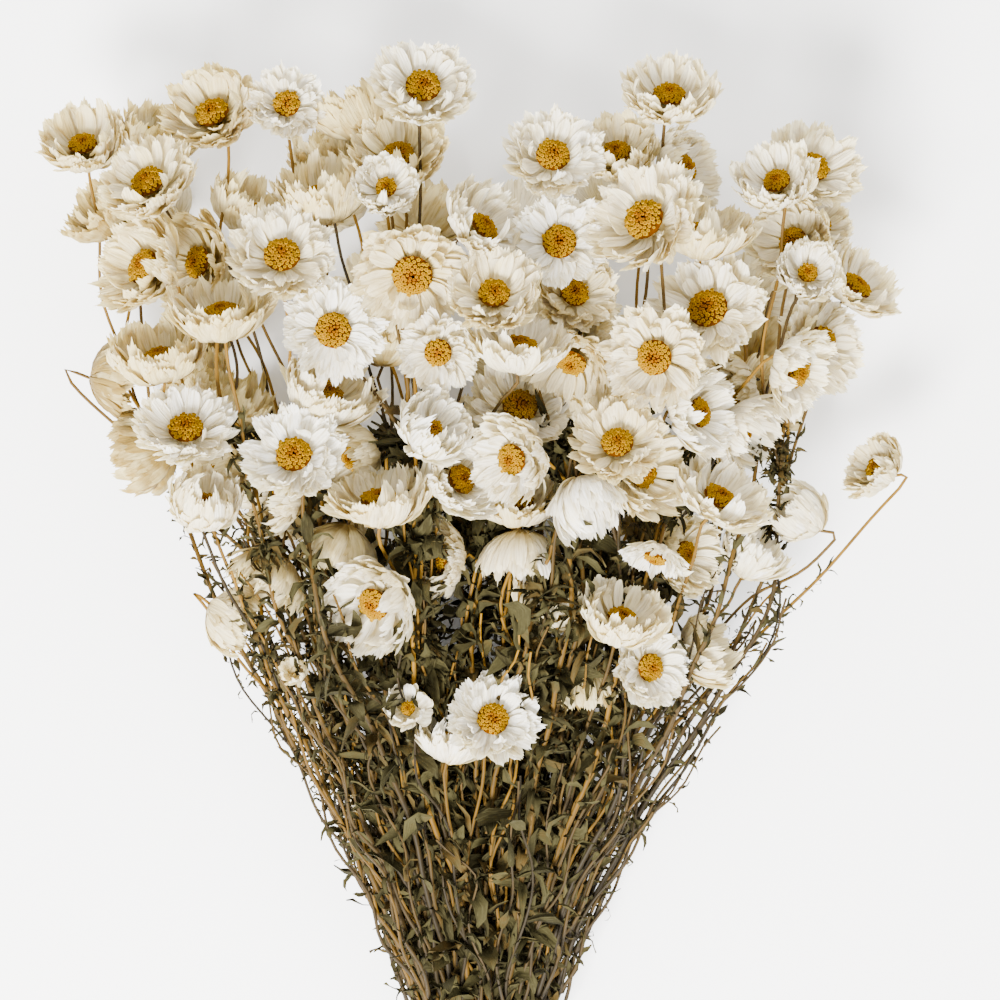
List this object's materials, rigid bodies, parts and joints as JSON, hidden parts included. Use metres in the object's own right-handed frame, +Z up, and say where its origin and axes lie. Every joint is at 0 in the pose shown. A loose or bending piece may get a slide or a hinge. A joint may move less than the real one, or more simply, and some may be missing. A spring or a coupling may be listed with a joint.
{
  "type": "dried daisy bunch",
  "caption": "Tied bunch of dried white everlasting daisies with golden discs on leafy branching stems, lying on its back.",
  "frame": {"origin": "middle of the bunch's footprint, on the surface that it lies on", "axes": "+Y along the bunch from the cut ends to the flower heads, +X across it, +Z up from the surface towards the viewer"},
  "size_m": [0.2516, 0.402, 0.1144],
  "materials": {
    "bracts": "dry papery white to cream, matt with fine lengthwise streaks",
    "discs": "matt golden yellow florets with a brown middle",
    "stems": "dry golden tan to brown stalks, dull",
    "leaves": "dry curled grey green to olive brown, matt",
    "tie": "plain natural twine, hairy and matt"
  },
  "bodies": {
    "root": {"spray_01": "bracts", "spray_02": "bracts", "spray_03": "bracts", "spray_04": "bracts", "spray_05": "bracts", "spray_06": "bracts", "spray_07": "bracts", "spray_08": "bracts", "spray_09": "bracts", "spray_11": "bracts", "spray_12": "bracts", "spray_13": "bracts", "spray_17": "bracts", "spray_20": "bracts", "spray_22": "bracts", "spray_23": "bracts", "spray_24": "bracts", "spray_25": "bracts", "spray_26": "bracts", "spray_27": "bracts", "spray_28": "bracts", "spray_29": "bracts", "spray_30": "bracts", "spray_31": "bracts", "spray_32": "bracts", "spray_33": "bracts", "spray_34": "bracts", "spray_36": "bracts", "spray_41": "bracts", "spray_42": "bracts", "spray_43": "bracts", "spray_44": "bracts", "spray_45": "bracts", "spray_47": "bracts", "spray_48": "bracts", "spray_49": "bracts", "tie": "tie"}
  },
  "joints": []
}
